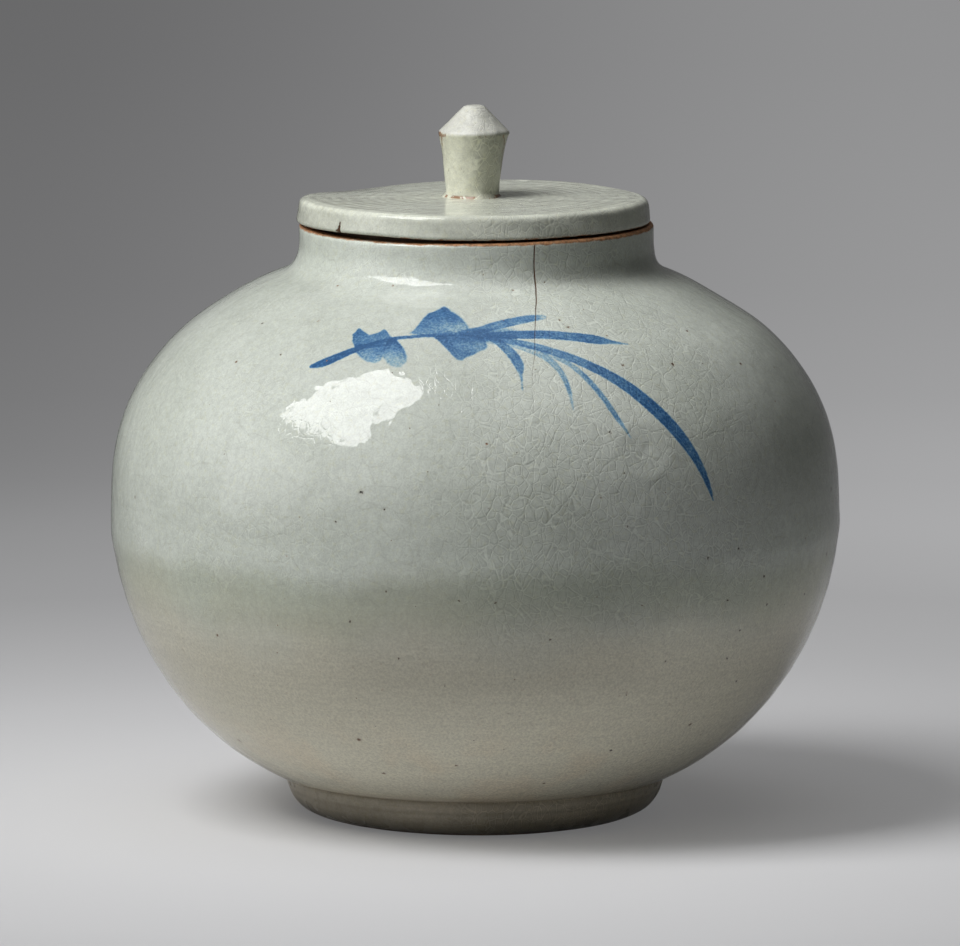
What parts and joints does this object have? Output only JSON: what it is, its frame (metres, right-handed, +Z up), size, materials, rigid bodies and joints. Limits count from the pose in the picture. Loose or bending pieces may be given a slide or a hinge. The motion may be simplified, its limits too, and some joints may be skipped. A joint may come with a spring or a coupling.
{
  "type": "lidded jar",
  "caption": "Round glazed stoneware storage jar on a low foot ring, with a short neck and a flat lift-off lid with a stub knob.",
  "frame": {"origin": "centre of the foot ring's contact circle, on the surface that the jar stands on", "axes": "+Z up along the jar's turning axis; the painted spray faces -Y"},
  "size_m": [0.2, 0.2, 0.1951],
  "materials": {
    "body_glaze": "glossy pale grey-green glaze with a fine crackle, and a cobalt brush spray",
    "foot_glaze": "thin darker glaze, wiped off the contact edge",
    "lid_glaze": "glossy pale grey-green glaze, rusty where it pulls off an edge",
    "bare_clay": "unglazed clay, fired rust orange"
  },
  "bodies": {
    "jar": {"jar_body": "body_glaze", "foot_ring": "foot_glaze"},
    "lid": {"lid_plate": "lid_glaze", "lid_knob": "lid_glaze", "lid_locating_ring": "bare_clay"}
  },
  "joints": [
    {"name": "lid_lift", "type": "slide", "parent": "jar", "child": "lid", "axis": [0, 0, 1], "range_m": [0, 0.1]}
  ]
}
